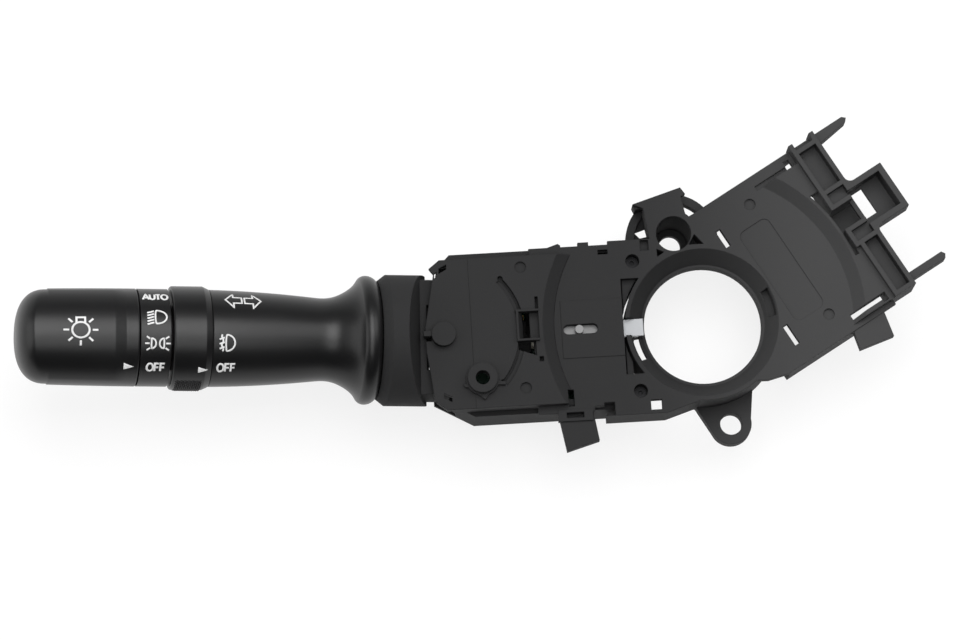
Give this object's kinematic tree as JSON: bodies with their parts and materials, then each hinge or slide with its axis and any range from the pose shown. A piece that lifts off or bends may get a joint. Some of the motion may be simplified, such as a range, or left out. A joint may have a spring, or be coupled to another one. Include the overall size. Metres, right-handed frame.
{
  "type": "combination stalk switch",
  "caption": "Steering column stalk switch: a light and turn lever on a switch case, a ring that goes round the column, and an open arm for a second switch.",
  "frame": {"origin": "on the steering column's axis, in the middle of the lip of the column bore", "axes": "+Z along the column towards the driver, +X from the light lever's pivot to the column, +Y up in the picture"},
  "size_m": [0.2622, 0.0903, 0.0559],
  "materials": {
    "frame_plastic": "moulded black plastic, fine spark texture",
    "lever_plastic": "moulded black plastic, satin soft grain",
    "white_plastic": "natural white acetal",
    "pale_nylon": "natural nylon",
    "zinc_steel": "zinc plated",
    "contact_brass": "bright",
    "board_laminate": "solder mask"
  },
  "bodies": {
    "frame": {"column_frame": "frame_plastic", "switch_cover": "frame_plastic", "switch_case": "frame_plastic", "case_screws": "zinc_steel", "contact_board": "board_laminate", "contact_pads": "contact_brass", "pin_header": "frame_plastic", "terminal_pins": "contact_brass", "connector_shroud": "frame_plastic", "detent_block": "frame_plastic", "cancel_spring": "zinc_steel"},
    "turn_carrier": {"turn_carrier": "frame_plastic", "tilt_pin": "zinc_steel", "detent_plunger": "pale_nylon", "detent_spring": "zinc_steel"},
    "turn_slider": {"turn_slider": "pale_nylon", "bridge_contact": "contact_brass"},
    "lever": {"lever_root": "frame_plastic", "stalk_core": "pale_nylon", "fog_click_spring": "zinc_steel", "lever_stalk": "lever_plastic", "index_ring": "lever_plastic", "light_contacts": "board_laminate"},
    "dimmer_plunger": {"dimmer_plunger": "pale_nylon"},
    "fog_ring": {"fog_ring": "lever_plastic"},
    "light_knob": {"light_knob": "lever_plastic", "knob_shaft": "zinc_steel", "light_rotor": "pale_nylon"},
    "cancel_plunger": {"cancel_plunger": "white_plastic"}
  },
  "joints": [
    {"name": "lever_turn", "type": "hinge", "parent": "frame", "child": "turn_carrier", "pos_m": [-0.0733, 0, 0.0005], "axis": [0, 0, 1], "range_deg": [-9, 9]},
    {"name": "turn_slide", "type": "slide", "parent": "frame", "child": "turn_slider", "axis": [0, 1, 0], "range_m": [-0.0034, 0.0034]},
    {"name": "lever_tilt", "type": "hinge", "parent": "turn_carrier", "child": "lever", "pos_m": [-0.0733, 0, 0.0005], "axis": [0.0454, 0.999, 0], "range_deg": [-5, 5], "stiffness_Nm_per_rad": 5},
    {"name": "dimmer_slide", "type": "slide", "parent": "turn_carrier", "child": "dimmer_plunger", "axis": [0, 0, 1], "range_m": [-0.0011, 0.0011]},
    {"name": "fog_turn", "type": "hinge", "parent": "lever", "child": "fog_ring", "pos_m": [-0.0733, 0, 0.0005], "axis": [-0.9892, 0.0449, 0.1392], "range_deg": [0, 32.5]},
    {"name": "light_turn", "type": "hinge", "parent": "lever", "child": "light_knob", "pos_m": [-0.0733, 0, 0.0005], "axis": [-0.9892, 0.0449, 0.1392], "range_deg": [0, 94.5]},
    {"name": "cancel_slide", "type": "slide", "parent": "frame", "child": "cancel_plunger", "axis": [1, 0, 0], "range_m": [-0.003, 0.003], "stiffness_N_per_m": 300, "deforming": ["cancel_spring"]}
  ],
  "couplings": [
    {"joint": "turn_slide", "follows": "lever_turn", "m_per_rad": 0.01998},
    {"joint": "dimmer_slide", "follows": "lever_tilt", "m_per_rad": -0.012}
  ]
}
